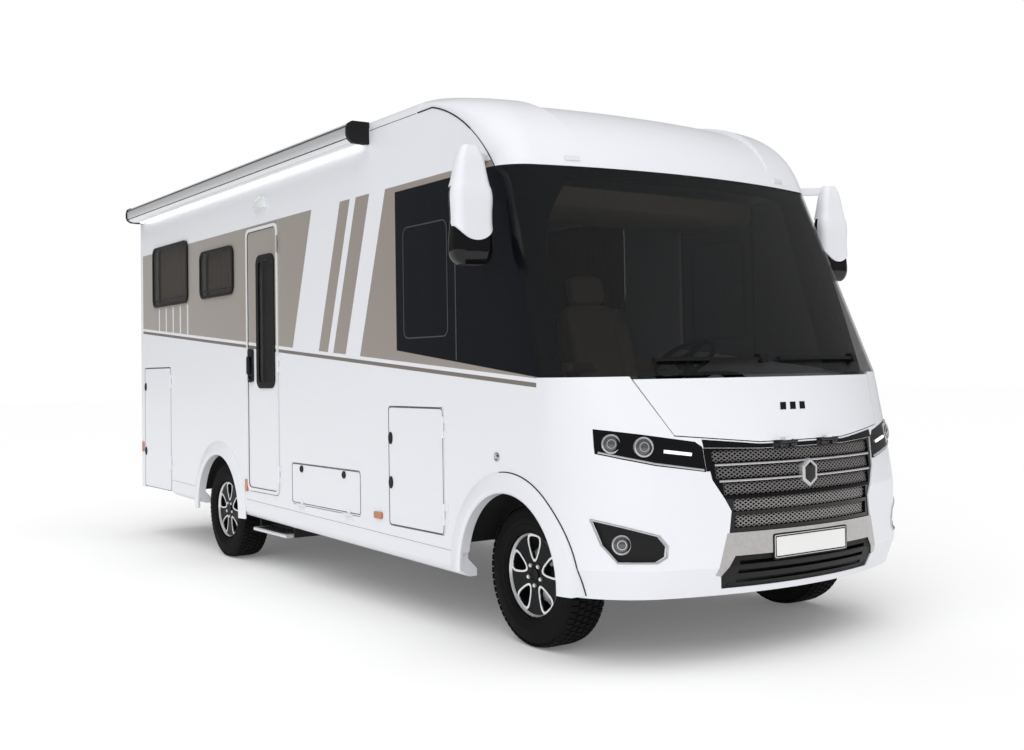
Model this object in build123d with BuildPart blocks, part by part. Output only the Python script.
from build123d import *

import os
from math import sqrt

# Fully integrated motorhome on a front-wheel-drive van chassis, in millimetres.
# +Z is up, -Y is the front and -X is the side with the entrance door.
# The origin is on the ground, under the middle of the vehicle.

# Driving dimensions: the body
LENGTH = 6990
WIDTH = 2300
ROOF_Z = 2980
WALL = 40
WALL_TOP_Z = 2909
ROOF_EDGE_R = 68
REAR_CORNER_R = 100
REAR_PROUD = 15
PANE = 12
DOOR_GAP = 5
DOOR_T = WALL - DOOR_GAP
FIT = 0.3

# Driving dimensions: wheels and axles
WHEELBASE = 3970
FRONT_OVERHANG = 1000
FRONT_TRACK = 1810
REAR_TRACK = 1980
TYRE_R = 372
TYRE_W = 225
RIM_R = 222
ARCH_R = 430
FLARE_W = 105
FLARE_PROUD = 28
KINGPIN_INSET = 125
HUB_FACE = 30

# Driving dimensions: heights under the floor
RAIL_X = 430
RAIL_W = 80
RAIL_LOW_Z = 400
RAIL_TOP_Z = 500
STORE_FLOOR = 25
FLOOR_Z = 850
FLOOR = 40
SKIRT = 130
SKIRT_ROLL = 55

# Driving dimensions: the front
NOSE = 20
BONNET = 8
BONNET_HEAD_GAP = 14
NOSE_LOW_Z = 340
NOSE_TOP_Z = 1390
RECESS = 8
FOG_SINK = 14
SCREEN_TOP_Z = 2490
CAP_TOP_Z = 3010

# Worked out from these
HALF = WIDTH / 2
INNER = HALF - WALL
FRONT = -LENGTH / 2
REAR = LENGTH / 2 - REAR_PROUD
AXLE_F = FRONT + FRONT_OVERHANG
AXLE_R = AXLE_F + WHEELBASE
TAIL = REAR - AXLE_F
SIDES = (-1, 1)


def at(station):
    """Y of a station, which is measured back from the front axle; the tail's is TAIL."""
    return AXLE_F + station


# Side stations: the cab window's corners and the seams of the front panels
WINDOW_BACK = 1120
WINDOW_SILL_Z = 1556
SCREEN_FOOT = -300
SCREEN_HEAD = 30
SEAM_TOP = -262
SEAM_FOOT = 0
SEAM_FOOT_Z = 915
CAP_BACK = 845
CAP_SEAM = ((680, WALL_TOP_Z), (350, 2765), (67, SCREEN_TOP_Z))
WALL_BACK = REAR - REAR_CORNER_R
WALL_FOOT_F = (530, 450)
WALL_FOOT_R = (TAIL - 95, 544)


def wall_foot(station):
    """Height of the sloping line where the wall ends and the skirt starts."""
    slope = (WALL_FOOT_R[1] - WALL_FOOT_F[1]) / (WALL_FOOT_R[0] - WALL_FOOT_F[0])
    return WALL_FOOT_F[1] + slope * (station - WALL_FOOT_F[0])


def window_sill(station):
    """Height of the cab window's lower edge, which drops towards the front."""
    slope = (WINDOW_SILL_Z - NOSE_TOP_Z) / (WINDOW_BACK - SCREEN_FOOT)
    return NOSE_TOP_Z + slope * (station - SCREEN_FOOT)


def side_plane(side, proud=0.0, thick=WALL):
    """Sketch plane at the low X of a side panel that stands proud of the wall's face."""
    outer = HALF + proud
    return Plane.YZ.offset(-outer if side < 0 else outer - thick)


# Openings in the side walls: front and back station, low and high z, corner radius
ENTRY = (2811, 3395, 566, 2512, 60)
LOCKER = (602, 1236, 522, 1230, 25)
FLAP = (1593, 2614, 534, 820, 25)
GARAGE = (TAIL - 895, TAIL - 175, 428, 1503, 30)
REAR_WINDOW = (TAIL - 1341, TAIL - 460, 2037, 2558, 70)
MIDDLE_WINDOW = (3633, 4335, 2046, 2420, 70)
DINETTE_WINDOW = (1700, 2600, 1900, 2500, 70)
DOOR_WINDOW = (2890, 3180, 1343, 2280, 60)
WINDOWS = {-1: (REAR_WINDOW, MIDDLE_WINDOW), 1: (REAR_WINDOW, MIDDLE_WINDOW, DINETTE_WINDOW)}
DOORS = {-1: (ENTRY, LOCKER, FLAP, GARAGE), 1: (GARAGE,)}
WINDOW_PROUD = 12


def opening(hole, gap=0.0):
    """Rounded rectangle of an opening on a side plane, drawn in by a gap."""
    y0, y1, z0, z1, radius = hole
    with Locations((at((y0 + y1) / 2), (z0 + z1) / 2)):
        RectangleRounded(y1 - y0 - 2 * gap, z1 - z0 - 2 * gap, radius - gap)


def cut_openings(holes):
    """Cuts a row of openings out of the sketch being drawn."""
    for y0, y1, z0, z1, radius in holes:
        with Locations((at((y0 + y1) / 2), (z0 + z1) / 2)):
            RectangleRounded(y1 - y0, z1 - z0, radius, mode=Mode.SUBTRACT)


# Hinges of the side doors: knuckles outside the face, on thin leaf plates
KNUCKLE_R = 7
KNUCKLE_OUT = 8
KNUCKLE_H = 40
LEAF_W = 34
LEAF_T = 3
LEAF_REACH = DOOR_GAP + 1
ENTRY_HINGES = (720, 1500, 2350)
LOCKER_HINGES = (640, 1120)
GARAGE_HINGES = (680, 1380)
FLAP_HINGES = (1760, 2450)
HALF_GAP = DOOR_GAP / 2


def hinge_shares(on_door):
    """Direction of the leaf and the shifts of the knuckles, for the door's share or the wall's."""
    return (1, (0,)) if on_door else (-1, (-KNUCKLE_H, KNUCKLE_H))


def upright_hinge(side, station, heights, on_door):
    """One share of the hinges along the front edge of a side door."""
    turn, shifts = hinge_shares(on_door)
    y = at(station + HALF_GAP)
    long = KNUCKLE_H - 2 * FIT
    for z in [height + shift for height in heights for shift in shifts]:
        with Locations((side * (HALF + KNUCKLE_OUT), y, z)):
            Cylinder(KNUCKLE_R, long)
        with Locations((side * (HALF + LEAF_T / 2), y + turn * (LEAF_W / 2 + HALF_GAP), z)):
            Box(LEAF_T, LEAF_W, long)
        with Locations((side * (HALF + LEAF_T), y + turn * LEAF_REACH / 2, z)):
            Box(LEAF_T, LEAF_REACH, long)


def flap_hinge(on_door):
    """One share of the hinges along the lower edge of the flap on the right side."""
    turn, shifts = hinge_shares(on_door)
    z = FLAP[2] + HALF_GAP
    long = KNUCKLE_H - 2 * FIT
    for y in [at(station) + shift for station in FLAP_HINGES for shift in shifts]:
        with Locations(Location((-(HALF + KNUCKLE_OUT), y, z), (90, 0, 0))):
            Cylinder(KNUCKLE_R, long)
        with Locations((-(HALF + LEAF_T / 2), y, z + turn * (LEAF_W / 2 + HALF_GAP))):
            Box(LEAF_T, long, LEAF_W)
        with Locations((-(HALF + LEAF_T), y, z + turn * LEAF_REACH / 2)):
            Box(LEAF_T, long, LEAF_REACH)


# Side walls with their doors, flaps and windows cut out
def side_wall(side):
    with BuildPart() as wall:
        with BuildSketch(side_plane(side)):
            with BuildLine():
                Polyline(
                    (at(CAP_SEAM[0][0]), WALL_TOP_Z),
                    (WALL_BACK, WALL_TOP_Z),
                    (WALL_BACK, wall_foot(WALL_FOOT_R[0])),
                    (at(WALL_FOOT_F[0]), WALL_FOOT_F[1]),
                    (at(SEAM_FOOT), WALL_FOOT_F[1]),
                    (at(SEAM_FOOT), SEAM_FOOT_Z),
                    (at(SEAM_TOP), window_sill(SEAM_TOP)),
                    (at(WINDOW_BACK), WINDOW_SILL_Z),
                    (at(WINDOW_BACK), SCREEN_TOP_Z),
                    (at(CAP_SEAM[2][0]), SCREEN_TOP_Z),
                )
                ThreePointArc(*[(at(y), z) for y, z in reversed(CAP_SEAM)])
            make_face()
            with Locations((AXLE_F, TYRE_R), (AXLE_R, TYRE_R)):
                Circle(ARCH_R, mode=Mode.SUBTRACT)
            cut_openings(DOORS[side] + WINDOWS[side])
        extrude(amount=WALL)
        upright_hinge(side, GARAGE[0], GARAGE_HINGES, False)
        if side < 0:
            upright_hinge(side, ENTRY[0], ENTRY_HINGES, False)
            upright_hinge(side, LOCKER[0], LOCKER_HINGES, False)
            flap_hinge(False)
    return wall


wall_right = side_wall(-1)
wall_left = side_wall(1)


def side_door(side, hole, heights):
    """Door leaf as thick as the wall, on upright hinges at its front edge."""
    with BuildPart() as door:
        with BuildSketch(side_plane(side, 0, DOOR_T)):
            opening(hole, DOOR_GAP)
        extrude(amount=DOOR_T)
        upright_hinge(side, hole[0], heights, True)
    return door


locker_door = side_door(-1, LOCKER, LOCKER_HINGES)
garage_door_right = side_door(-1, GARAGE, GARAGE_HINGES)
garage_door_left = side_door(1, GARAGE, GARAGE_HINGES)

# Lever handle of the entrance door: station, height, width, length, reach
HANDLE = (3300, 1495, 70, 240, 34)
with BuildPart() as entry_door:
    with BuildSketch(side_plane(-1, 0, DOOR_T)):
        opening(ENTRY, DOOR_GAP)
        cut_openings((DOOR_WINDOW,))
    extrude(amount=DOOR_T)
    upright_hinge(-1, ENTRY[0], ENTRY_HINGES, True)
    handle_y, handle_z, handle_w, handle_h, handle_out = HANDLE
    with Locations((-HALF - handle_out / 4, at(handle_y), handle_z)):
        Box(handle_out / 2, handle_w, handle_h)
    with Locations((-HALF - handle_out / 2, at(handle_y), handle_z)):
        Box(handle_out, handle_w / 2, handle_h / 2)

with BuildPart() as locker_flap:
    with BuildSketch(side_plane(-1, 0, DOOR_T)):
        opening(FLAP, DOOR_GAP)
    extrude(amount=DOOR_T)
    flap_hinge(True)

with BuildPart() as living_windows:
    thick = WALL / 2 + WINDOW_PROUD
    for side in SIDES:
        with BuildSketch(side_plane(side, WINDOW_PROUD, thick)):
            for hole in WINDOWS[side]:
                opening(hole, FIT)
        extrude(amount=thick)

with BuildPart() as entry_door_glass:
    with BuildSketch(side_plane(-1, 0, WALL / 2)):
        opening(DOOR_WINDOW, FIT)
    extrude(amount=WALL / 2)

# Plan sections of the front: height, half width, foremost station, front radius, corner radius
NOSE_SECTIONS = (
    (NOSE_LOW_Z, HALF - 30, -945, 2100, 520),
    (480, HALF, -FRONT_OVERHANG, 2100, 550),
    (800, HALF, -FRONT_OVERHANG, 2100, 550),
    (1060, HALF, -965, 2020, 550),
    (NOSE_TOP_Z, HALF, -810, 2500, 300),
)
SCREEN_SECTIONS = (
    (NOSE_TOP_Z, HALF, -810, 2500, 300),
    (SCREEN_TOP_Z, HALF, -200, 4000, 200),
)
CAP_SECTIONS = (
    (SCREEN_TOP_Z, HALF, -200, 4000, 200),
    (2650, HALF, -125, 4000, 220),
    (2800, HALF, 15, 4000, 260),
    (2900, HALF - 4, 200, 4000, 300),
    (2960, HALF - 25, 420, 4000, 320),
    (CAP_TOP_Z, HALF - 95, 640, 4000, 320),
)
SECTION_BACK = 1400


def plan_section(section, inset, drop):
    """Closed plan outline: straight sides, two corner arcs and one wide front arc."""
    height, half, foremost, front_r, corner_r = section
    half, front_r, corner_r = half - inset, front_r - inset, corner_r - inset
    front_y = at(foremost) + inset
    centre_x = half - corner_r
    corner_y = front_y + front_r - sqrt((front_r - corner_r) ** 2 - centre_x**2)
    touch_x = centre_x * front_r / (front_r - corner_r)
    touch_y = front_y + front_r - sqrt(front_r**2 - touch_x**2)
    # Middle of the corner arc, halfway between its two tangent points
    lean = Vector(touch_x - centre_x + corner_r, touch_y - corner_y).normalized()
    mid_x = centre_x + corner_r * lean.X
    mid_y = corner_y + corner_r * lean.Y
    back_y = at(SECTION_BACK)
    with BuildSketch(Plane.XY.offset(height - drop)) as outline:
        with BuildLine():
            Line((-half, back_y), (half, back_y))
            Line((half, back_y), (half, corner_y))
            ThreePointArc((half, corner_y), (mid_x, mid_y), (touch_x, touch_y))
            ThreePointArc((touch_x, touch_y), (0, front_y), (-touch_x, touch_y))
            ThreePointArc((-touch_x, touch_y), (-mid_x, mid_y), (-half, corner_y))
            Line((-half, corner_y), (-half, back_y))
        make_face()
    return outline.sketch


def front_solid(sections, inset, ruled=True, drop=0):
    """Solid lofted through the plan sections, drawn in by an inset."""
    with BuildPart() as solid:
        loft([plan_section(section, inset, drop) for section in sections], ruled=ruled)
    return solid.part


def front_shell(sections, outer, inner):
    """Skin between two insets of a lofted front."""
    with BuildPart() as shell:
        add(front_solid(sections, outer))
        add(front_solid(sections, inner), mode=Mode.SUBTRACT)
    return shell.part


nose_skin = front_shell(NOSE_SECTIONS, 0, NOSE)
bonnet_skin = front_shell(NOSE_SECTIONS, 0, BONNET)
lamp_skin = front_shell(NOSE_SECTIONS, 0, 2 * NOSE)
recess_skin = front_shell(NOSE_SECTIONS, RECESS, 2 * NOSE)
pocket_skin = front_shell(NOSE_SECTIONS, 0, RECESS + NOSE)
fog_skin = front_shell(NOSE_SECTIONS, FOG_SINK, 2 * NOSE)
screen_skin = front_shell(SCREEN_SECTIONS, 0, PANE)

# Outlines on the front, seen along Y: half width and height of each corner
BONNET_FOOT = ((300, 1066), (735, 1108))
BONNET_HEAD = (862, NOSE_TOP_Z - BONNET_HEAD_GAP)
BONNET_CUT_HEAD = (900, NOSE_TOP_Z + 60)
HEADLAMP_FRONT = (
    (1056, 1144),
    (884, 1116),
    (648, 1076),
    (617, 1050),
    (611, 932),
    (847, 969),
    (977, 1002),
    (1056, 1027),
)
FOG_FRONT = ((1078, 715), (854, 641), (819, 593), (824, 545), (863, 521), (1005, 522), (1052, 603))
GRILLE_FRONT = ((300, 1032), (606, 1044), (587, 894), (501, 744), (514, 640))
TRIM_FRONT = ((525, 640), (580, 441), (549, 434), (484, 530))
INTAKE_FRONT = ((484, 530), (549, 434), (530, 372))
BLOCK_DEPTH = 900


def front_block(corners, pair=False, grow=0.0):
    """Block along Y over an outline seen from the front, whole or as a pair."""
    halves = [[(side * x, z) for x, z in corners] for side in SIDES]
    outlines = halves if pair else [halves[0] + halves[1][::-1]]
    with BuildPart() as block:
        with BuildSketch(Plane.XZ.offset(-FRONT + DOOR_GAP)):
            for outline in outlines:
                with BuildLine():
                    Polyline(*outline, close=True)
                make_face()
            if grow:
                offset(amount=grow, kind=Kind.INTERSECTION)
        extrude(amount=-BLOCK_DEPTH)
    return block.part


def front_piece(skin, corners, pair=False):
    """The part of a front skin that lies inside an outline."""
    with BuildPart() as piece:
        add(skin)
        add(front_block(corners, pair), mode=Mode.INTERSECT)
    return piece


headlamps = front_piece(lamp_skin, HEADLAMP_FRONT, True)
fog_lamps = front_piece(fog_skin, FOG_FRONT, True)

# Flat seat for the number plate, sunk in the trim and the intake below it
PLATE_SEAT_W = 550
PLATE_SEAT_H = 130
PLATE_SEAT_Z = 556
PLATE_SINK = 17


def plate_seat():
    with Locations((0, FRONT, PLATE_SEAT_Z)):
        Box(PLATE_SEAT_W, 2 * PLATE_SINK, PLATE_SEAT_H, mode=Mode.SUBTRACT)


with BuildPart() as bumper_trim:
    add(front_piece(lamp_skin, TRIM_FRONT).part)
    plate_seat()

# Sunken rows of the grille and slats of the lower intake
GRILLE_ROWS = 5
ROW_LOW_Z = 690
ROW_HIGH_Z = 1000
SLAT = 18
ROW_EDGE = 30


def grille_half(z):
    """Half width of the grille at a height, between the corners of its outline."""
    for (x_high, z_high), (x_low, z_low) in zip(GRILLE_FRONT[1:], GRILLE_FRONT[2:]):
        if z >= z_low:
            return x_low + (x_high - x_low) * (z - z_low) / (z_high - z_low)
    return GRILLE_FRONT[-1][0]


with BuildPart() as grille_rows:
    add(pocket_skin)
    pitch = (ROW_HIGH_Z - ROW_LOW_Z) / (GRILLE_ROWS - 1)
    rows = [ROW_LOW_Z + row * pitch for row in range(GRILLE_ROWS)]
    with BuildSketch(Plane.XZ.offset(-FRONT + DOOR_GAP)) as row_faces:
        for row_z in rows:
            with Locations((0, row_z)):
                Rectangle(2 * (grille_half(row_z) - ROW_EDGE), pitch - SLAT)
    extrude(row_faces.sketch, amount=-BLOCK_DEPTH, mode=Mode.INTERSECT)

with BuildPart() as grille:
    add(recess_skin)
    add(front_block(GRILLE_FRONT), mode=Mode.INTERSECT)
    add(grille_rows.part, mode=Mode.SUBTRACT)

SLAT_Z = (405, 450, 495)
with BuildPart() as lower_intake:
    add(recess_skin)
    add(front_block(INTAKE_FRONT), mode=Mode.INTERSECT)
    for slat_z in SLAT_Z:
        with Locations((0, FRONT, slat_z)):
            Box(2 * (INTAKE_FRONT[0][0] - ROW_EDGE), BLOCK_DEPTH, SLAT, mode=Mode.SUBTRACT)
    plate_seat()

# Bonnet, tilting forwards about two hinges at its lower edge
BONNET_HINGE_X = 150
BONNET_AXIS_Y = FRONT + 12
BONNET_AXIS_Z = 1059
TAB_H = 20
TAB_LONG = 44


def bonnet_hinge(on_bonnet):
    """One share of the bonnet hinges: knuckles on tabs that reach back to the skin."""
    turn, shifts = hinge_shares(on_bonnet)
    long = KNUCKLE_H - 2 * FIT
    tab_z = BONNET_AXIS_Z + turn * (LEAF_T + TAB_H / 2)
    for x in [side * BONNET_HINGE_X + shift for side in SIDES for shift in shifts]:
        with Locations(Location((x, BONNET_AXIS_Y, BONNET_AXIS_Z), (0, 90, 0))):
            Cylinder(KNUCKLE_R, long)
        with Locations((x, BONNET_AXIS_Y + TAB_LONG / 2, tab_z)):
            Box(long, TAB_LONG, TAB_H)


with BuildPart() as bonnet:
    add(bonnet_skin)
    add(front_block(BONNET_FOOT + (BONNET_HEAD,)), mode=Mode.INTERSECT)
    bonnet_hinge(True)


def side_block(points):
    """Block over the whole width with an outline seen from the side."""
    with BuildPart() as block:
        with BuildSketch(Plane.YZ.offset(-WIDTH)):
            with BuildLine():
                Polyline(*points, close=True)
            make_face()
        extrude(amount=2 * WIDTH)
    return block.part


AHEAD = FRONT - DOOR_GAP
with BuildPart() as nose_panel:
    add(nose_skin)
    add(
        side_block(
            (
                (AHEAD, 0),
                (at(SEAM_FOOT), 0),
                (at(SEAM_FOOT), SEAM_FOOT_Z),
                (at(SEAM_TOP), window_sill(SEAM_TOP)),
                (at(SEAM_TOP), ROOF_Z),
                (AHEAD, ROOF_Z),
            )
        ),
        mode=Mode.INTERSECT,
    )
    for corners, pair in (
        (HEADLAMP_FRONT, True),
        (FOG_FRONT, True),
        (GRILLE_FRONT, False),
        (TRIM_FRONT, False),
        (INTAKE_FRONT, False),
    ):
        add(front_block(corners, pair), mode=Mode.SUBTRACT)
    add(front_block(BONNET_FOOT + (BONNET_CUT_HEAD,), grow=DOOR_GAP), mode=Mode.SUBTRACT)
    with Locations(Location((0, AXLE_F, TYRE_R), (0, 90, 0))):
        Cylinder(ARCH_R, 2 * WIDTH, mode=Mode.SUBTRACT)
    bonnet_hinge(False)

SCREEN_LINE = ((at(SCREEN_FOOT), NOSE_TOP_Z), (at(SCREEN_HEAD), SCREEN_TOP_Z))
with BuildPart() as windscreen:
    add(screen_skin)
    add(
        side_block(((AHEAD, NOSE_TOP_Z), *SCREEN_LINE, (AHEAD, SCREEN_TOP_Z))),
        mode=Mode.INTERSECT,
    )

with BuildPart() as cab_side_windows:
    add(screen_skin)
    add(
        side_block((*SCREEN_LINE, (at(WINDOW_BACK), SCREEN_TOP_Z), (at(WINDOW_BACK), WINDOW_SILL_Z))),
        mode=Mode.INTERSECT,
    )

# Pillars and header behind the glass, black from outside
PILLAR = 45
PILLAR_AHEAD = 105
PILLAR_BACK = 140
HEADER_H = 70
HEADER_Z = SCREEN_TOP_Z - HEADER_H
with BuildPart() as pillar_region:
    add(
        side_block(
            (
                (at(SCREEN_FOOT - PILLAR_AHEAD), NOSE_TOP_Z),
                (at(SCREEN_FOOT), NOSE_TOP_Z),
                (at(SCREEN_FOOT + PILLAR_BACK), window_sill(SCREEN_FOOT + PILLAR_BACK)),
                (at(SCREEN_HEAD + PILLAR_BACK), SCREEN_TOP_Z),
                (at(SCREEN_HEAD - PILLAR_AHEAD), SCREEN_TOP_Z),
            )
        )
    )
    add(side_block(((AHEAD, HEADER_Z), (at(0), HEADER_Z), (at(0), SCREEN_TOP_Z), (AHEAD, SCREEN_TOP_Z))))

with BuildPart() as cab_pillars:
    add(front_shell(SCREEN_SECTIONS, PANE, PANE + PILLAR))
    add(pillar_region.part, mode=Mode.INTERSECT)

# Roof cap over the windscreen, with a sunken middle between two side ribs
RIB_X = 740
RIB_SLOPE = 60
SINK = 30
CAP_RISE = CAP_TOP_Z - SCREEN_TOP_Z
SUNK_SECTIONS = [(z - SINK * (z - SCREEN_TOP_Z) / CAP_RISE, *plan) for z, *plan in CAP_SECTIONS]
with BuildPart() as cap_middle:
    add(front_solid(CAP_SECTIONS, 0, ruled=False))
    with BuildSketch(Plane.XZ.offset(-FRONT)) as middle_face:
        with BuildLine():
            Polyline(
                (-RIB_X - RIB_SLOPE, CAP_TOP_Z),
                (RIB_X + RIB_SLOPE, CAP_TOP_Z),
                (RIB_X - RIB_SLOPE, SCREEN_TOP_Z),
                (-RIB_X + RIB_SLOPE, SCREEN_TOP_Z),
                close=True,
            )
        make_face()
    extrude(middle_face.sketch, amount=-LENGTH, mode=Mode.INTERSECT)
    add(front_solid(SUNK_SECTIONS, 0, ruled=False), mode=Mode.SUBTRACT)

with BuildPart() as cap_region:
    with BuildSketch(Plane.YZ.offset(-WIDTH)):
        with BuildLine():
            ThreePointArc(*[(at(y), z) for y, z in reversed(CAP_SEAM)])
            Polyline(
                (at(CAP_SEAM[0][0]), WALL_TOP_Z),
                (at(CAP_BACK), WALL_TOP_Z),
                (at(CAP_BACK), CAP_TOP_Z + WALL),
                (AHEAD, CAP_TOP_Z + WALL),
                (AHEAD, SCREEN_TOP_Z),
                (at(CAP_SEAM[2][0]), SCREEN_TOP_Z),
            )
        make_face()
    extrude(amount=2 * WIDTH)

with BuildPart() as roof_cap:
    add(front_solid(CAP_SECTIONS, 0, ruled=False))
    add(front_solid(CAP_SECTIONS, WALL, ruled=False, drop=WALL + SINK), mode=Mode.SUBTRACT)
    add(cap_middle.part, mode=Mode.SUBTRACT)
    add(cap_region.part, mode=Mode.INTERSECT)

# Roof panel with its rounded edge moulding
with BuildPart() as roof_panel:
    roof_long = REAR - at(CAP_BACK)
    with BuildSketch(Plane.XY.offset(WALL_TOP_Z)):
        with Locations((0, at(CAP_BACK) + roof_long / 2)):
            Rectangle(WIDTH, roof_long)
    extrude(amount=ROOF_Z - WALL_TOP_Z)
    fillet(roof_panel.edges().filter_by(Axis.Z).group_by(Axis.Y)[-1], REAR_CORNER_R)
    top_edges = roof_panel.faces().sort_by(Axis.Z)[-1].edges()
    front_edge = top_edges.sort_by(Axis.Y)[0]
    fillet([edge for edge in top_edges if edge != front_edge], ROOF_EDGE_R)
    with Locations((0, at(CAP_BACK) + (roof_long - WALL) / 2, WALL_TOP_Z)):
        Box(2 * INNER, roof_long - WALL, 2 * (ROOF_Z - WALL_TOP_Z - WALL), mode=Mode.SUBTRACT)

# Rear wall and rear bumper share the rounded plan of the tail
BUMPER_FRONT = TAIL - 169
BUMPER_LOW_Z = 424


def tail(front_y, low_z, high_z):
    """U-shaped tail panel, from a front line to the rounded rear corners."""
    long = REAR - front_y
    with BuildSketch(Plane.XY.offset(low_z)) as plan:
        with BuildLine():
            FilletPolyline(
                (HALF, front_y),
                (HALF, REAR),
                (-HALF, REAR),
                (-HALF, front_y),
                radius=REAR_CORNER_R - FIT,
            )
            Line((-HALF, front_y), (HALF, front_y))
        make_face()
        with Locations((0, front_y + (long - WALL) / 2)):
            Rectangle(2 * INNER, long - WALL, mode=Mode.SUBTRACT)
    extrude(plan.sketch, amount=high_z - low_z)


TAIL_FOOT_Z = wall_foot(WALL_FOOT_R[0])
with BuildPart() as wall_rear:
    tail(WALL_BACK, TAIL_FOOT_Z, WALL_TOP_Z)

with BuildPart() as rear_bumper:
    tail(at(BUMPER_FRONT), BUMPER_LOW_Z, wall_foot(BUMPER_FRONT))

# Rear lamps: half spacing, width, low z, height; and the high brake lamp
REAR_LAMP = (985, 120, 760, 420)
BRAKE_LAMP = (360, 2780, 30)
with BuildPart() as rear_lamps:
    lamp_x, lamp_w, lamp_low, lamp_h = REAR_LAMP
    with BuildSketch(Plane.XZ.offset(-REAR)):
        for side in SIDES:
            with Locations((side * lamp_x, lamp_low + lamp_h / 2)):
                RectangleRounded(lamp_w, lamp_h, lamp_w / 3)
        with Locations((0, BRAKE_LAMP[1])):
            RectangleRounded(BRAKE_LAMP[0], BRAKE_LAMP[2], BRAKE_LAMP[2] / 3)
    extrude(amount=-REAR_PROUD)

# Sills under the walls, rolled in at the bottom
SKIRT_FRONT = ARCH_R + DOOR_GAP
SKIRT_BACK = GARAGE[0] - DOOR_GAP


def skirt_profile(side, station):
    """Section of the sill: flat face above, rolled in below."""
    top = wall_foot(station)
    low = top - SKIRT
    with BuildSketch(Plane.XZ.offset(-at(station))) as profile:
        with BuildLine():
            Polyline(
                (side * (HALF - SKIRT_ROLL), low),
                (side * (INNER - SKIRT_ROLL), low),
                (side * (INNER - SKIRT_ROLL), low + WALL),
                (side * INNER, low + WALL + SKIRT_ROLL),
                (side * INNER, top),
                (side * HALF, top),
                (side * HALF, low + SKIRT_ROLL),
            )
            ThreePointArc(
                (side * HALF, low + SKIRT_ROLL),
                (side * (HALF - 0.293 * SKIRT_ROLL), low + 0.293 * SKIRT_ROLL),
                (side * (HALF - SKIRT_ROLL), low),
            )
        make_face()
    return profile.sketch


def skirt(side, front, back):
    with BuildPart() as sill:
        loft([skirt_profile(side, front), skirt_profile(side, back)], ruled=True)
    return sill.part


with BuildPart() as side_skirts:
    for side in SIDES:
        add(skirt(side, SKIRT_FRONT, SKIRT_BACK))
    with Locations(Location((0, AXLE_R, TYRE_R), (0, 90, 0))):
        Cylinder(ARCH_R, 2 * WIDTH, mode=Mode.SUBTRACT)

# Wheel arch flares, a ring that stands proud around each opening
FLARE_FOOT_Z = 352
FLARE_NOSE_DEEP = 120
FLARE_STEP = 8
FLARE_ROLL = 22


def flare(side, axle, deep):
    """Half ring with a rolled face, from its crest to a depth behind the wall's face."""
    crown = TYRE_R + ARCH_R
    outer = crown + FLARE_W
    edge = (side * (HALF + FLARE_STEP), outer)
    crest = (side * (HALF + FLARE_PROUD), crown + FLARE_ROLL)
    lip = (side * (HALF + FLARE_PROUD - FLARE_ROLL / 2), crown)
    with BuildPart() as ring:
        with BuildSketch(Plane.XZ.offset(-axle)):
            with BuildLine():
                Polyline(lip, (side * (HALF - deep), crown), (side * (HALF - deep), outer), edge)
                ThreePointArc(edge, (side * (HALF + 0.7 * FLARE_PROUD), crown + 0.65 * FLARE_W), crest)
                ThreePointArc(crest, (side * (HALF + 0.85 * FLARE_PROUD), crown + 0.3 * FLARE_ROLL), lip)
            make_face()
        revolve(axis=Axis((0, axle, TYRE_R), (1, 0, 0)))
        with Locations((0, axle, FLARE_FOOT_Z - TYRE_R)):
            Box(2 * WIDTH, 4 * TYRE_R, 2 * TYRE_R, mode=Mode.SUBTRACT)
    return ring.part


with BuildPart() as wheel_arch_flares:
    for side in SIDES:
        add(flare(side, AXLE_F, FLARE_NOSE_DEEP))
    add(front_solid(NOSE_SECTIONS, 0), mode=Mode.SUBTRACT)
    with Locations((0, at(SEAM_FOOT) + WHEELBASE / 2, TYRE_R)):
        Box(WIDTH, WHEELBASE, WHEELBASE, mode=Mode.SUBTRACT)
    for side in SIDES:
        add(flare(side, AXLE_R, 0))

# Wheel housings: half drums closed on the inside, with a flange up to the floor
DRUM = 8
HOUSINGS = {  # axle y: inner face x, outer face x, drum radius
    AXLE_F: (FRONT_TRACK / 2 - 345, HALF - 70, 465),
    AXLE_R: (REAR_TRACK / 2 - 250, INNER, 442),
}
with BuildPart() as wheel_housings:
    for axle, (near_x, far_x, radius) in HOUSINGS.items():
        for side in SIDES:
            low_x = near_x if side > 0 else -far_x
            with BuildSketch(Plane.YZ.offset(low_x)):
                with Locations((axle, TYRE_R)):
                    Circle(radius + DRUM)
                    Circle(radius, mode=Mode.SUBTRACT)
                with Locations((axle, 0)):
                    Rectangle(4 * TYRE_R, 2 * RAIL_TOP_Z, mode=Mode.SUBTRACT)
            extrude(amount=far_x - near_x)
            plate_x = near_x if side > 0 else -near_x - DRUM
            with BuildSketch(Plane.YZ.offset(plate_x)):
                with Locations((axle, (RAIL_TOP_Z + FLOOR_Z) / 2)):
                    Rectangle(2 * radius - 4 * DRUM, FLOOR_Z - RAIL_TOP_Z)
            extrude(amount=DRUM)

# Floors: the living floor, and the storage floor on the chassis rails
FLOOR_FRONT = -330
STORE_FRONT = 520
STEP_WELL = (ENTRY[0] - 20, ENTRY[1] + 20, 420)
GARAGE_FRONT = TAIL - 1045
DECK_Z = 1560
with BuildPart() as floor_panel:
    long = GARAGE_FRONT - FLOOR_FRONT
    with Locations((0, at(FLOOR_FRONT) + long / 2, FLOOR_Z + FLOOR / 2)):
        Box(2 * INNER, long, FLOOR)
    well_y0, well_y1, well_deep = STEP_WELL
    with Locations((-INNER + well_deep / 2, at((well_y0 + well_y1) / 2), FLOOR_Z + FLOOR / 2)):
        Box(well_deep, well_y1 - well_y0, FLOOR, mode=Mode.SUBTRACT)

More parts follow.
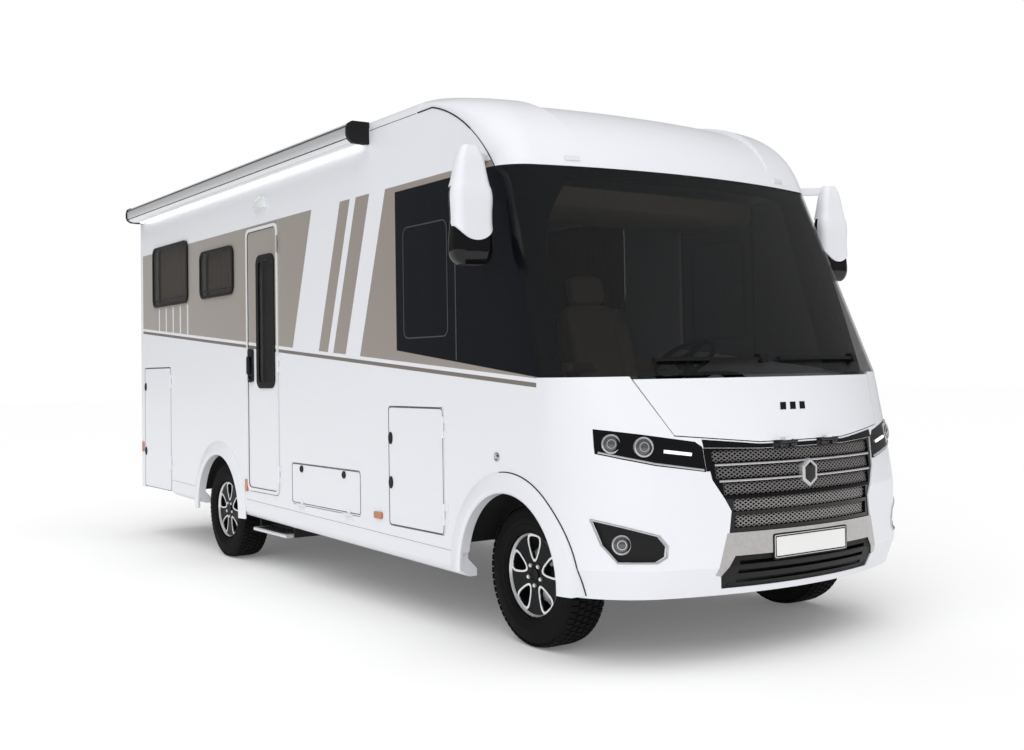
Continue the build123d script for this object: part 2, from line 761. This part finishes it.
STEP_GUIDE = 10
STEP_Z = 268
STEP_T = 26
STEP_DEEP = 260
STEP_GUIDE_DEEP = 420
RUNNER = (220, 30)
with BuildPart() as storage_floor:
    long = REAR - WALL - at(STORE_FRONT)
    with Locations((0, at(STORE_FRONT) + long / 2, RAIL_TOP_Z + STORE_FLOOR / 2)):
        Box(2 * INNER, long, STORE_FLOOR)
    for side in SIDES:
        near_x, far_x, radius = HOUSINGS[AXLE_R]
        with Locations((side * (near_x + INNER) / 2, AXLE_R, RAIL_TOP_Z + STORE_FLOOR / 2)):
            Box(INNER - near_x, 2 * (radius + DRUM), STORE_FLOOR, mode=Mode.SUBTRACT)
    # Guides of the sliding step hang under the doorway
    guide_h = RAIL_TOP_Z - STEP_Z
    for station in (ENTRY[0] - STEP_GUIDE / 2, ENTRY[1] + STEP_GUIDE / 2):
        with Locations((-INNER + SKIRT_ROLL + DOOR_GAP + STEP_GUIDE_DEEP / 2, at(station), STEP_Z + guide_h / 2)):
            Box(STEP_GUIDE_DEEP, STEP_GUIDE, guide_h)

# Front wall and ceiling of the garage, which carries the bed
with BuildPart() as garage_box:
    long = REAR - WALL - at(GARAGE_FRONT)
    store_z = RAIL_TOP_Z + STORE_FLOOR
    with Locations((0, at(GARAGE_FRONT) + FLOOR / 2, (store_z + DECK_Z) / 2)):
        Box(2 * INNER, FLOOR, DECK_Z - store_z)
    with Locations((0, at(GARAGE_FRONT) + long / 2, DECK_Z + FLOOR / 2)):
        Box(2 * INNER, long, FLOOR)

with BuildPart() as entry_step:
    step_w = ENTRY[1] - ENTRY[0] - 2 * FIT
    with Locations((-INNER + STEP_DEEP / 2, at((ENTRY[0] + ENTRY[1]) / 2), STEP_Z + STEP_T / 2)):
        Box(STEP_DEEP, step_w, STEP_T)
    fillet(entry_step.edges().filter_by(Axis.Y).group_by(Axis.X)[0], STEP_T / 3)
    runner_long, runner_w = RUNNER
    for station in (ENTRY[0] + FIT + runner_w / 2, ENTRY[1] - FIT - runner_w / 2):
        with Locations((-INNER + STEP_DEEP + runner_long / 2, at(station), STEP_Z + STEP_T / 2)):
            Box(runner_long, runner_w, STEP_T)

# Chassis: two rails, crossmembers, jacking pads and a towing plate
CROSSMEMBERS = (-680, 750, 2000, 3300, TAIL - 1275, TAIL - 215)
CROSS_W = 60
RAIL_FRONT = -710
RAIL_BACK = TAIL - 115
JACK_PADS = (900, TAIL - 1325)
JACK_PAD = (90, 120, 20)
TOW_PLATE = (180, RAIL_TOP_Z - RAIL_LOW_Z, 15)
TOW_BOLTS = (130, 56)
TOW_BOLT_R = 7
with BuildPart() as chassis_frame:
    rail_h = RAIL_TOP_Z - RAIL_LOW_Z
    rail_z = (RAIL_TOP_Z + RAIL_LOW_Z) / 2
    for side in SIDES:
        with Locations((side * RAIL_X, at((RAIL_FRONT + RAIL_BACK) / 2), rail_z)):
            Box(RAIL_W, RAIL_BACK - RAIL_FRONT, rail_h)
        for station in JACK_PADS:
            with Locations((side * RAIL_X, at(station), RAIL_LOW_Z - JACK_PAD[2] / 2)):
                Box(*JACK_PAD)
    for station in CROSSMEMBERS:
        with Locations((0, at(station), rail_z)):
            Box(2 * RAIL_X, CROSS_W, rail_h)
    plate_w, plate_h, plate_t = TOW_PLATE
    for side in SIDES:
        with Locations((side * RAIL_X, at(RAIL_BACK) + plate_t / 2, rail_z)):
            Box(plate_w, plate_t, plate_h)
        with Locations(Location((side * RAIL_X, at(RAIL_BACK) + plate_t, rail_z), (-90, 0, 0))):
            with GridLocations(*TOW_BOLTS, 2, 2):
                Hole(TOW_BOLT_R, plate_t)

# Engine as one block on lugs between the rails
ENGINE = (-640, -150, 420, 800, 330)
with BuildPart() as engine_block:
    y0, y1, z0, z1, half_x = ENGINE
    with Locations((0, at((y0 + y1) / 2), (z0 + z1) / 2)):
        Box(2 * half_x, y1 - y0, z1 - z0)
    fillet(engine_block.edges().filter_by(Axis.Y), 40)
    with Locations((0, at((y0 + y1) / 2), rail_z)):
        Box(2 * RAIL_X - RAIL_W, 100, 50)

# Waste water tank and exhaust under the storage floor
TANK = (2200, 3200, 300, 300)
with BuildPart() as underfloor_tank:
    y0, y1, tank_low, half_x = TANK
    with Locations((0, at((y0 + y1) / 2), (tank_low + RAIL_TOP_Z) / 2)):
        Box(2 * half_x, y1 - y0, RAIL_TOP_Z - tank_low)
    fillet(underfloor_tank.edges().filter_by(Axis.Z), 60)

MUFFLER = (1350, 300, 85, 620)
PIPE_R = 27
with BuildPart() as exhaust:
    muffler_y, muffler_z, muffler_r, muffler_long = MUFFLER
    with Locations(Location((0, at(muffler_y), muffler_z), (90, 0, 0))):
        Cylinder(muffler_r, muffler_long)
    with Locations(Location((0, at(muffler_y - muffler_long), muffler_z), (90, 0, 0))):
        Cylinder(PIPE_R, muffler_long)
    for shift in (-200, 200):
        with Locations((0, at(muffler_y + shift), (muffler_z + RAIL_TOP_Z) / 2)):
            Box(30, 12, RAIL_TOP_Z - muffler_z)

# Front suspension: crossbeam, arms and struts around the kingpins
PIN_R = 32
PIN_LOW_Z = 285
PIN_TOP_Z = 500
BEAM_Z = 225
BEAM_H = 60
STRUT_R = 22
STRUT_TOP = (620, 800)
STRUT_CUP = (40, 35)
KINGPIN_X = FRONT_TRACK / 2 - KINGPIN_INSET
with BuildPart() as front_suspension:
    with Locations((0, AXLE_F, BEAM_Z + (BEAM_H - FIT) / 2)):
        Box(2 * KINGPIN_X, 56, BEAM_H - FIT)
    for side in SIDES:
        with Locations((side * KINGPIN_X, AXLE_F, BEAM_Z + (BEAM_H - FIT) / 2)):
            Cylinder(PIN_R, BEAM_H - FIT)
        with Locations((side * RAIL_X, AXLE_F, (BEAM_Z + RAIL_LOW_Z) / 2)):
            Box(RAIL_W, 56, RAIL_LOW_Z - BEAM_Z)
        with Locations((side * KINGPIN_X, AXLE_F, PIN_TOP_Z + FIT + BEAM_H / 2)):
            Cylinder(PIN_R, BEAM_H)
        foot = Vector(side * (KINGPIN_X - PIN_R / 2), AXLE_F, PIN_TOP_Z + BEAM_H / 2)
        head = Vector(side * STRUT_TOP[0], AXLE_F, STRUT_TOP[1])
        with BuildSketch(Plane(foot, z_dir=head - foot)):
            Circle(STRUT_R)
        extrude(amount=(head - foot).length)
        cup_r, cup_h = STRUT_CUP
        with Locations((side * STRUT_TOP[0], AXLE_F, STRUT_TOP[1] + cup_h / 2)):
            Cylinder(cup_r, cup_h)


FLANGE_R = 70
FLANGE_T = 16


def knuckle(side):
    """Steering knuckle: upright on the kingpin line, spindle and hub flange."""
    wheel_x = side * FRONT_TRACK / 2
    face_x = wheel_x + side * (HUB_FACE - FIT)
    pin_x = side * KINGPIN_X
    with BuildPart() as upright:
        with Locations((pin_x, AXLE_F, (PIN_LOW_Z + PIN_TOP_Z) / 2)):
            Cylinder(PIN_R, PIN_TOP_Z - PIN_LOW_Z)
        with Locations(Location(((pin_x + face_x) / 2, AXLE_F, TYRE_R), (0, 90, 0))):
            Cylinder(PIN_R, abs(face_x - pin_x))
        with Locations(Location((face_x - side * FLANGE_T / 2, AXLE_F, TYRE_R), (0, 90, 0))):
            Cylinder(FLANGE_R, FLANGE_T)
    return upright


knuckle_right = knuckle(-1)
knuckle_left = knuckle(1)

# Rear axle: low tube, end plates, stubs with flanges and spring pads under the rails
TUBE_R = 40
TUBE_Z = 300
END_PLATE = (24, 130)
SPRING_PAD = 80
with BuildPart() as rear_axle:
    stub_x = REAR_TRACK / 2 + HUB_FACE - FIT
    end_x = REAR_TRACK / 2 - KINGPIN_INSET
    with Locations(Location((0, AXLE_R, TUBE_Z), (0, 90, 0))):
        Cylinder(TUBE_R, 2 * end_x)
    for side in SIDES:
        with Locations((side * end_x, AXLE_R, (TUBE_Z + TYRE_R) / 2)):
            Box(END_PLATE[0], END_PLATE[1], TYRE_R - TUBE_Z + END_PLATE[1])
        with Locations(Location((side * (end_x + stub_x) / 2, AXLE_R, TYRE_R), (0, 90, 0))):
            Cylinder(PIN_R, stub_x - end_x)
        with Locations(Location((side * (stub_x - FLANGE_T / 2), AXLE_R, TYRE_R), (0, 90, 0))):
            Cylinder(FLANGE_R, FLANGE_T)
        with Locations((side * RAIL_X, AXLE_R, (TUBE_Z + RAIL_LOW_Z) / 2)):
            Box(SPRING_PAD, SPRING_PAD, RAIL_LOW_Z - TUBE_Z)

# Wheels: tyre section and a rim with five windows in its face
SHOULDER_R = 40
BEAD_W = 180
RIM_WALL = 9
FACE_SET = 14
FACE_T = 20
RIM_WINDOWS = 5
RIM_WINDOW = ((80, 8), (105, 25), (165, 48), (197, 40))
WINDOW_R = 7
HUB_R = 78
HUB_DEEP = 42


def tyre(side, track, axle):
    """Tyre turned about the wheel's axis, with rounded shoulders and a drawn-in bead."""
    x = side * track / 2
    half_w = TYRE_W / 2
    bead = TYRE_R + RIM_R
    crown = 2 * TYRE_R
    with BuildPart() as ring:
        with BuildSketch(Plane.XZ.offset(-axle)):
            with BuildLine():
                Polyline(
                    (x - half_w, bead + SHOULDER_R),
                    (x - BEAD_W / 2, bead),
                    (x + BEAD_W / 2, bead),
                    (x + half_w, bead + SHOULDER_R),
                )
                Line((x + half_w, bead + SHOULDER_R), (x + half_w, crown - SHOULDER_R))
                RadiusArc((x + half_w, crown - SHOULDER_R), (x + half_w - SHOULDER_R, crown), -SHOULDER_R)
                Line((x + half_w - SHOULDER_R, crown), (x - half_w + SHOULDER_R, crown))
                RadiusArc((x - half_w + SHOULDER_R, crown), (x - half_w, crown - SHOULDER_R), -SHOULDER_R)
                Line((x - half_w, crown - SHOULDER_R), (x - half_w, bead + SHOULDER_R))
            make_face()
        revolve(axis=Axis((0, axle, TYRE_R), (1, 0, 0)))
    return ring


def rim(side, track, axle):
    """Rim: barrel, hub and a face with five windows that leaves five broad spokes."""
    x = side * track / 2
    hub_x = x + side * (HUB_FACE + HUB_DEEP / 2)
    face_x = x + side * (BEAD_W / 2 - FACE_SET - FACE_T / 2)
    barrel_r = RIM_R - FIT
    corners = [*RIM_WINDOW, *[(reach, -half) for reach, half in reversed(RIM_WINDOW)]]
    with BuildPart() as wheel:
        with Locations(Location((x, axle, TYRE_R), (0, 90, 0))):
            Cylinder(barrel_r, BEAD_W)
            Cylinder(barrel_r - RIM_WALL, BEAD_W, mode=Mode.SUBTRACT)
        with Locations(Location((face_x, axle, TYRE_R), (0, 90, 0))):
            Cylinder(barrel_r - RIM_WALL / 2, FACE_T)
        with BuildSketch(Plane.YZ.offset(face_x)) as windows:
            with Locations((axle, TYRE_R)):
                with PolarLocations(0, RIM_WINDOWS, start_angle=90):
                    Polygon(*corners, align=None)
            fillet(windows.vertices(), WINDOW_R)
        extrude(windows.sketch, amount=FACE_T, both=True, mode=Mode.SUBTRACT)
        with Locations(Location((hub_x, axle, TYRE_R), (0, 90, 0))):
            Cylinder(HUB_R, HUB_DEEP)
    return wheel


# Each wheel: side, track, axle
SPOTS = {
    "front_right": (-1, FRONT_TRACK, AXLE_F),
    "front_left": (1, FRONT_TRACK, AXLE_F),
    "rear_right": (-1, REAR_TRACK, AXLE_R),
    "rear_left": (1, REAR_TRACK, AXLE_R),
}
tyres = {spot: tyre(*place) for spot, place in SPOTS.items()}
rims = {spot: rim(*place) for spot, place in SPOTS.items()}

# Awning case along the top of the right wall
AWNING = (1450, TAIL - 145, 2830, 2950)
AWNING_OUT = 130
AWNING_R = 45
with BuildPart() as awning_case:
    y0, y1, z0, z1 = AWNING
    with Locations((-HALF - AWNING_OUT / 2, at((y0 + y1) / 2), (z0 + z1) / 2)):
        Box(AWNING_OUT, y1 - y0, z1 - z0)
    fillet(awning_case.edges().filter_by(Axis.Y).group_by(Axis.X)[0], AWNING_R)

# Roof hatches: station, size along X and Y
HATCHES = ((1900, 520, 720), (3650, 420, 420), (TAIL - 825, 720, 520))
HATCH_H = 55
with BuildPart() as roof_hatches:
    for station, size_x, size_y in HATCHES:
        with BuildSketch(Plane.XY.offset(ROOF_Z)):
            with Locations((0, at(station))):
                RectangleRounded(size_x, size_y, HATCH_H)
        extrude(amount=HATCH_H, taper=15)

# Mirrors: dark housings under white arms, which reach down the front as a cover
MIRROR_OUT = 205
MIRROR_AT = -10
MIRROR_TOP_Z = 2350
COVER = 7
COVER_LOW_Z = 2080
MIRROR_SECTIONS = ((1960, 150, 66), (1985, 205, 104), (2100, 226, 116), (2290, 222, 112), (MIRROR_TOP_Z, 205, 100))
ARM_SECTIONS = ((MIRROR_TOP_Z, 220, 115), (2440, 176, 92), (2520, 130, 74), (2560, 86, 52))
ARM_W = 50
ARM_Z = (2508, 2552)
ARM_ROOT = 165


def mirror_loft(side, sections, grow=0.0):
    """Solid through rounded plan sections of a mirror: height, width and depth of each."""
    outlines = []
    for z, width, depth in sections:
        with BuildSketch(Plane.XY.offset(z)) as outline:
            with Locations((side * (HALF + MIRROR_OUT), at(MIRROR_AT))):
                RectangleRounded(width + 2 * grow, depth + 2 * grow, 0.4 * depth)
        outlines.append(outline.sketch)
    with BuildPart() as solid:
        loft(outlines)
    return solid.part


with BuildPart() as mirrors:
    for side in SIDES:
        add(mirror_loft(side, MIRROR_SECTIONS))


def mirror_arm(side):
    """White arm with its bracket at the cap and the cover on the front of the housing."""
    mid_x = side * (HALF + MIRROR_OUT)
    cover_r = MIRROR_SECTIONS[2][1] / 2 + COVER
    cover_h = MIRROR_TOP_Z - COVER_LOW_Z
    with BuildPart() as cover:
        add(mirror_loft(side, MIRROR_SECTIONS, COVER))
        with BuildSketch(Plane.XZ.offset(-at(MIRROR_AT))) as shield:
            with Locations((mid_x, COVER_LOW_Z + cover_h / 2 + cover_r)):
                Rectangle(2 * cover_r, cover_h)
            with Locations((mid_x, COVER_LOW_Z + cover_r)):
                Circle(cover_r)
        extrude(shield.sketch, amount=WIDTH, mode=Mode.INTERSECT)
        add(mirror_loft(side, MIRROR_SECTIONS), mode=Mode.SUBTRACT)
    with BuildPart() as arm:
        add(mirror_loft(side, ARM_SECTIONS))
        add(cover.part)
        with BuildSketch(Plane.XY.offset(ARM_Z[0])) as bracket:
            with BuildLine():
                Polyline(
                    (side * HALF, at(ARM_ROOT - ARM_W / 2)),
                    (side * HALF, at(ARM_ROOT + ARM_W / 2)),
                    (mid_x, at(MIRROR_AT + ARM_W / 2)),
                    (mid_x, at(MIRROR_AT - ARM_W / 2)),
                    close=True,
                )
            make_face()
        extrude(bracket.sketch, amount=ARM_Z[1] - ARM_Z[0])
    return arm.part


with BuildPart() as mirror_arms:
    for side in SIDES:
        add(mirror_arm(side))

# Lamps along each side: station, height, length and height of the lens
SIDE_MARKERS = ((TAIL - 130, 787, 45, 90), (3410, 606, 45, 90), (1364, 569, 100, 40), (3101, 2668, 130, 50))
MARKER_T = 10
with BuildPart() as marker_lamps:
    for side in SIDES:
        with BuildSketch(side_plane(side, MARKER_T, MARKER_T)):
            for station, height, size_y, size_z in SIDE_MARKERS:
                with Locations((at(station), height)):
                    RectangleRounded(size_y, size_z, 12)
        extrude(amount=MARKER_T)

# Wipers parked along the foot of the windscreen: pivot x, blade length, height
WIPERS = ((-100, 640, 1470), (720, 700, 1470))
BLADE = 16
PIVOT = 46
wiper_skin = front_shell(SCREEN_SECTIONS, -24, -8)
pivot_skin = front_shell(SCREEN_SECTIONS, -30, 0)


def wiper_part(skin, x0, x1, z, height):
    """Length of a skin in front of the windscreen."""
    with BuildPart() as strip:
        add(skin)
        with Locations(((x0 + x1) / 2, FRONT, z)):
            Box(x1 - x0, 2 * BLOCK_DEPTH, height, mode=Mode.INTERSECT)
    return strip.part


with BuildPart() as wipers:
    for pivot_x, blade_long, blade_z in WIPERS:
        add(wiper_part(wiper_skin, pivot_x - blade_long, pivot_x, blade_z, BLADE))
        add(wiper_part(pivot_skin, pivot_x - PIVOT / 2, pivot_x + PIVOT / 2, blade_z, PIVOT))

# Dashboard with its console and the steering column
DASH = ((-480, 1130), (-480, 1360), (-60, 1340), (120, 1260), (150, 1130))
DASH_HALF = 1030
CONSOLE = (-420, -40, 170)
WHEEL_SPOT = (400, 330, 1480)
WHEEL_TILT = 35
WHEEL_R = 190
GRIP_R = 15
BOSS_R = 60
BOSS_T = 36
COLUMN_R = 38
COLUMN_LONG = 340
wheel_plane = Plane(
    Location((WHEEL_SPOT[0], at(WHEEL_SPOT[1]), WHEEL_SPOT[2]), (-WHEEL_TILT, 0, 0))
)
with BuildPart() as dashboard:
    with BuildSketch(Plane.YZ.offset(-DASH_HALF)):
        with BuildLine():
            Polyline(*[(at(y), z) for y, z in DASH], close=True)
        make_face()
    extrude(amount=2 * DASH_HALF)
    console_z = FLOOR_Z + FLOOR
    with Locations((0, at((CONSOLE[0] + CONSOLE[1]) / 2), (console_z + DASH[0][1]) / 2)):
        Box(2 * CONSOLE[2], CONSOLE[1] - CONSOLE[0], DASH[0][1] - console_z)
    with BuildSketch(wheel_plane.offset(-BOSS_T - FIT)):
        Circle(COLUMN_R)
    extrude(amount=-COLUMN_LONG)

with BuildPart() as steering_wheel:
    with BuildSketch(wheel_plane.offset(-BOSS_T)):
        Circle(BOSS_R)
    extrude(amount=BOSS_T)
    with BuildSketch(wheel_plane.offset(-BOSS_T / 2)):
        Rectangle(2 * WHEEL_R, BOSS_R)
        with Locations((0, -WHEEL_R / 2)):
            Rectangle(BOSS_R, WHEEL_R)
    extrude(amount=GRIP_R)
    with Locations(wheel_plane.offset(-BOSS_T / 2 + GRIP_R / 2).location):
        Torus(WHEEL_R, GRIP_R)

# Cab seats: cushion, leaning back and headrest on a pedestal
SEAT_X = 400
SEAT_W = 500
SEAT_TOP_Z = 1320
PEDESTAL_TOP_Z = 1170
PEDESTAL = (360, 340)
PEDESTAL_AT = 890
SEAT_SIDE = (
    (640, PEDESTAL_TOP_Z),
    (1130, PEDESTAL_TOP_Z),
    (1330, 1860),
    (1240, 1880),
    (1080, SEAT_TOP_Z),
    (640, SEAT_TOP_Z + 20),
)
HEADREST = (1300, 1960, 90, 190, 280)
with BuildPart() as seat_pedestals:
    for side in SIDES:
        with Locations((side * SEAT_X, at(PEDESTAL_AT), (FLOOR_Z + FLOOR + PEDESTAL_TOP_Z) / 2)):
            Box(PEDESTAL[0], PEDESTAL[1], PEDESTAL_TOP_Z - FLOOR_Z - FLOOR)


def seat(side):
    with BuildPart() as pad:
        with BuildSketch(Plane.YZ.offset(side * SEAT_X - SEAT_W / 2)):
            with BuildLine():
                Polyline(*[(at(y), z) for y, z in SEAT_SIDE], close=True)
            make_face()
        extrude(amount=SEAT_W)
        rest_y, rest_z, rest_t, rest_h, rest_w = HEADREST
        with Locations((side * SEAT_X, at(rest_y), rest_z)):
            Box(rest_w, rest_t, rest_h)
    return pad


seat_driver = seat(1)
seat_passenger = seat(-1)

# One file for each piece
PIECES = {
    "chassis_frame": chassis_frame,
    "storage_floor": storage_floor,
    "floor_panel": floor_panel,
    "garage_box": garage_box,
    "wall_right": wall_right,
    "wall_left": wall_left,
    "wall_rear": wall_rear,
    "roof_panel": roof_panel,
    "roof_cap": roof_cap,
    "nose_panel": nose_panel,
    "windscreen": windscreen,
    "cab_side_windows": cab_side_windows,
    "living_windows": living_windows,
    "wheel_arch_flares": wheel_arch_flares,
    "wheel_housings": wheel_housings,
    "side_skirts": side_skirts,
    "rear_bumper": rear_bumper,
    "rear_lamps": rear_lamps,
    "marker_lamps": marker_lamps,
    "headlamps": headlamps,
    "fog_lamps": fog_lamps,
    "grille": grille,
    "bumper_trim": bumper_trim,
    "lower_intake": lower_intake,
    "wipers": wipers,
    "awning_case": awning_case,
    "roof_hatches": roof_hatches,
    "mirrors": mirrors,
    "mirror_arms": mirror_arms,
    "cab_pillars": cab_pillars,
    "dashboard": dashboard,
    "seat_pedestals": seat_pedestals,
    "seat_driver": seat_driver,
    "seat_passenger": seat_passenger,
    "engine_block": engine_block,
    "underfloor_tank": underfloor_tank,
    "exhaust": exhaust,
    "front_suspension": front_suspension,
    "rear_axle": rear_axle,
    "bonnet": bonnet,
    "entry_door": entry_door,
    "entry_door_glass": entry_door_glass,
    "locker_door": locker_door,
    "locker_flap": locker_flap,
    "garage_door_right": garage_door_right,
    "garage_door_left": garage_door_left,
    "entry_step": entry_step,
    "steering_wheel": steering_wheel,
    "knuckle_right": knuckle_right,
    "knuckle_left": knuckle_left,
    **{f"tyre_{spot}": ring for spot, ring in tyres.items()},
    **{f"rim_{spot}": wheel for spot, wheel in rims.items()},
}
os.makedirs("parts", exist_ok=True)
for name, piece in PIECES.items():
    piece.part.label = name
    export_step(piece.part, f"parts/{name}.step")
